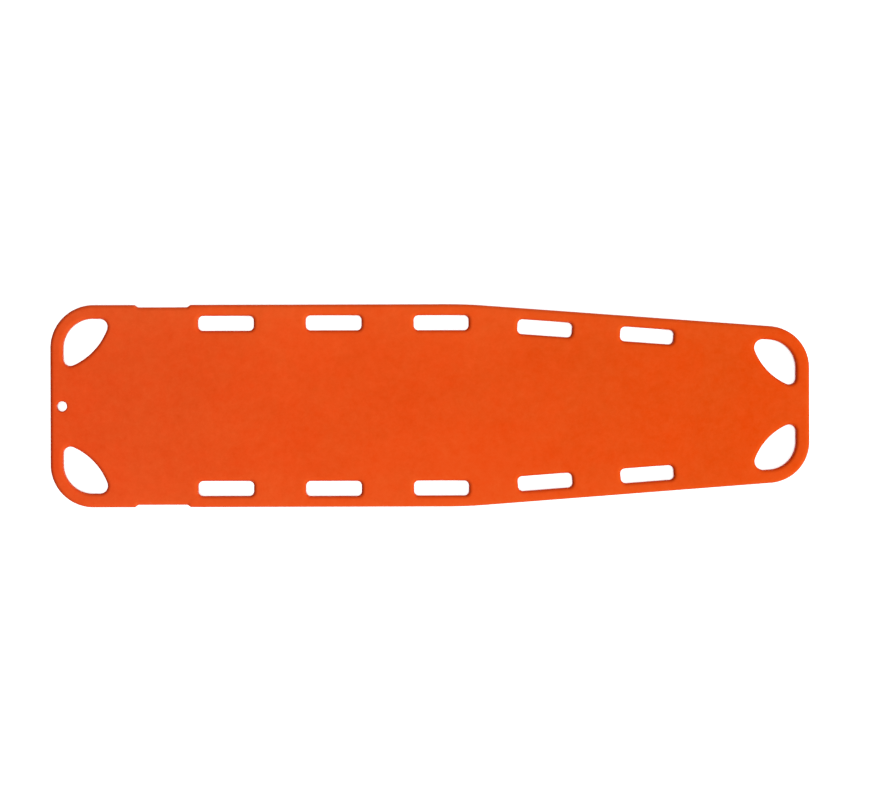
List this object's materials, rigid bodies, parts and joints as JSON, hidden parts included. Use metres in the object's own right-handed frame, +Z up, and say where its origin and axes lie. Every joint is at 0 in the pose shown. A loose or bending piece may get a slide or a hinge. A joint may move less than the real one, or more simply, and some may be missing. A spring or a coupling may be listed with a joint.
{
  "type": "spine board stretcher",
  "caption": "Long flat rigid spine board with tapered foot end, through hand slots along both sides, corner grips and runners underneath.",
  "frame": {"origin": "under the middle of the board, on the plane that its runners stand on", "axes": "+X along the board to the foot end, +Y across it to the left as seen with the foot end pointing away, +Z up out of the deck the patient lies on"},
  "size_m": [1.83, 0.4884, 0.055],
  "materials": {
    "orange_polyethylene": "matte, finely grained as moulded",
    "rigid_foam": "closed-cell rigid polyurethane foam",
    "pultruded_fibreglass": "satin resin with lengthwise fibres",
    "black_plug": "satin moulded polyethylene",
    "orange_plug": "satin moulded polyethylene"
  },
  "bodies": {
    "root": {"shell": "orange_polyethylene", "foam_core": "rigid_foam", "stiffener_tube_left": "pultruded_fibreglass", "stiffener_tube_right": "pultruded_fibreglass", "tube_plug_head_left": "black_plug", "tube_plug_head_right": "black_plug", "tube_plug_foot_left": "black_plug", "tube_plug_foot_right": "black_plug", "foam_fill_plug": "orange_plug", "foam_vent_plug_head": "orange_plug", "foam_vent_plug_foot": "orange_plug"}
  },
  "joints": []
}
